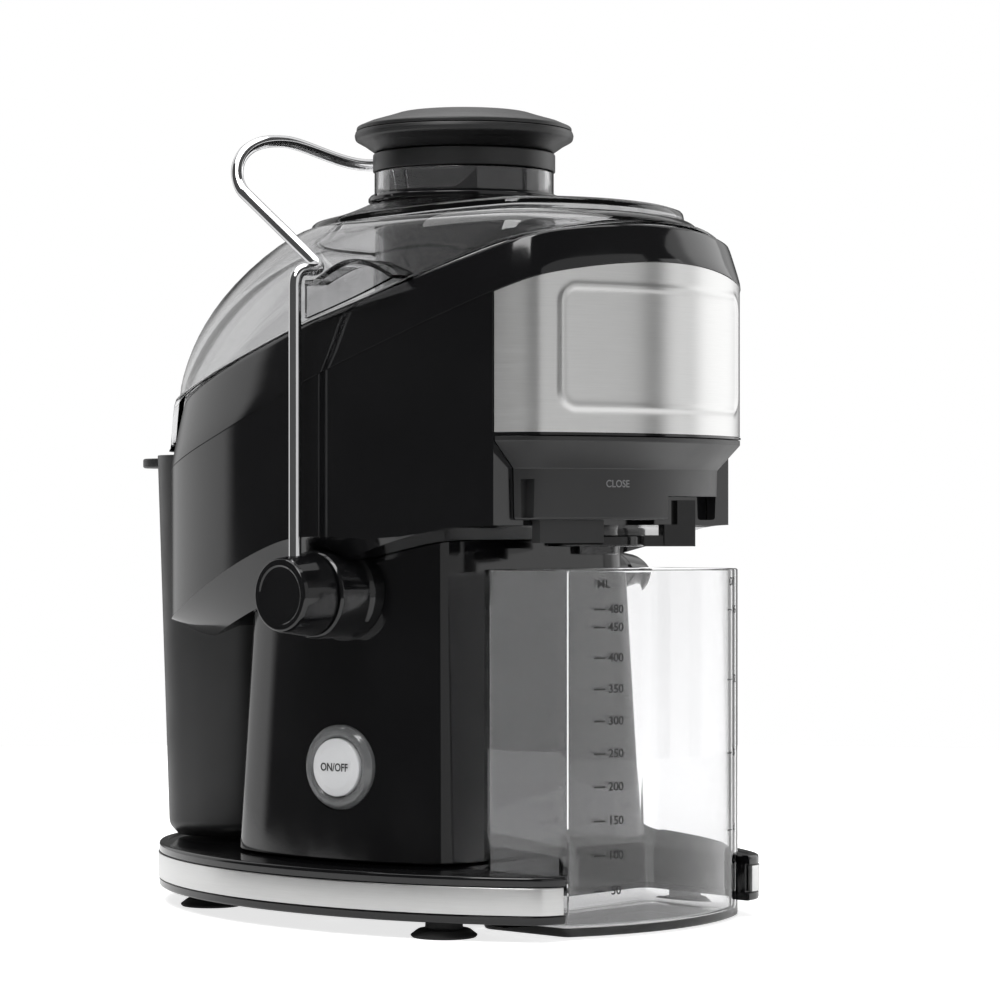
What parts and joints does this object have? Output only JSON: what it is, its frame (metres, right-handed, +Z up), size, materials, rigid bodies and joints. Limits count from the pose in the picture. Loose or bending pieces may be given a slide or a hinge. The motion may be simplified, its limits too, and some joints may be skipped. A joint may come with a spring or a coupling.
{
  "type": "centrifugal juicer",
  "caption": "Compact centrifugal juicer with a clear domed lid, round feed chute and pusher, swing-over wire bail, front spout over a clear cup, and a rear pulp container.",
  "frame": {"origin": "on the table under the middle of the machine's bounding box, level with the soles of the feet", "axes": "+Z up, -Y is the front with the spout and cup, +X is the user's right when facing the front from behind the machine"},
  "size_m": [0.2, 0.2734, 0.3129],
  "materials": {
    "gloss_black": "high gloss moulded",
    "satin_black": "satin moulded",
    "brushed_steel": "fine brushed",
    "zinc": "plain turned steel",
    "lamination": "stacked steel laminations",
    "mesh_steel": "etched and perforated sheet",
    "copper": "copper wire and bars",
    "chrome": "polished wire",
    "rubber": "matt moulded rubber",
    "lid_smoke": "clear smoke-tinted plastic",
    "bowl_smoke": "dark smoke-tinted plastic",
    "cup_clear": "clear moulded plastic, faint grey",
    "bezel_smoke": "frosted grey plastic ring",
    "button_silver": "silver-white satin plastic"
  },
  "bodies": {
    "machine": {"base_plate": "gloss_black", "bottom_cover": "satin_black", "base_band": "brushed_steel", "base_screw_1": "zinc", "base_screw_2": "zinc", "base_screw_3": "zinc", "base_screw_4": "zinc", "foot_1": "rubber", "foot_2": "rubber", "foot_3": "rubber", "foot_4": "rubber", "motor_housing": "gloss_black", "cord_gland": "rubber", "button_bezel": "bezel_smoke", "power_switch": "satin_black", "motor_stator": "lamination", "field_winding": "copper", "brush_left": "satin_black", "brush_right": "satin_black", "lower_bearing": "zinc", "upper_bearing": "zinc", "bearing_bracket_lower": "satin_black", "bearing_bracket_upper": "satin_black", "shaft_seal": "rubber", "bowl_housing": "gloss_black", "front_panel": "brushed_steel", "spout_collar": "satin_black", "juice_bowl": "bowl_smoke", "lid": "lid_smoke", "lid_frame": "gloss_black", "feed_chute": "lid_smoke", "chute_ring": "gloss_black", "chute_collar": "satin_black", "pivot_boss_left": "gloss_black", "pivot_boss_right": "gloss_black"},
    "bail": {"bail_wire": "chrome", "pivot_knob_left": "gloss_black", "pivot_knob_right": "gloss_black"},
    "pusher": {"pusher_body": "gloss_black", "pusher_cap": "satin_black", "pusher_top": "satin_black"},
    "rotor": {"motor_rotor": "lamination", "motor_shaft": "zinc", "commutator": "copper", "cooling_fan": "satin_black", "drive_coupling": "satin_black", "basket_hub": "satin_black", "grater_disc": "mesh_steel", "filter_basket": "mesh_steel", "basket_rim": "satin_black", "basket_nut": "zinc"},
    "button": {"power_button": "button_silver"},
    "spout": {"flow_spout": "gloss_black"},
    "cup": {"juice_cup": "cup_clear"},
    "pulp_bin": {"pulp_container": "satin_black"}
  },
  "joints": [
    {"name": "bail_swing", "type": "hinge", "parent": "machine", "child": "bail", "pos_m": [0, -0.02675, 0.125], "axis": [-1, 0, 0], "range_deg": [0, 75]},
    {"name": "pusher_lift", "type": "slide", "parent": "machine", "child": "pusher", "axis": [0, 0, 1], "range_m": [0, 0.09]},
    {"name": "rotor_spin", "type": "hinge", "parent": "machine", "child": "rotor", "pos_m": [0, -0.02675, 0.1], "axis": [0, 0, 1], "continuous": true},
    {"name": "button_press", "type": "slide", "parent": "machine", "child": "button", "axis": [0.9927, 0.1209, 0], "range_m": [0, 0.003], "stiffness_N_per_m": 400, "springref_m": -0.001},
    {"name": "spout_turn", "type": "hinge", "parent": "machine", "child": "spout", "pos_m": [0, -0.09475, 0.147], "axis": [0, 0, -1], "range_deg": [0, 25]},
    {"name": "cup_pull", "type": "slide", "parent": "machine", "child": "cup", "axis": [0, -1, 0], "range_m": [0, 0.12]},
    {"name": "pulp_pull", "type": "slide", "parent": "machine", "child": "pulp_bin", "axis": [0, 1, 0], "range_m": [0, 0.12]}
  ]
}
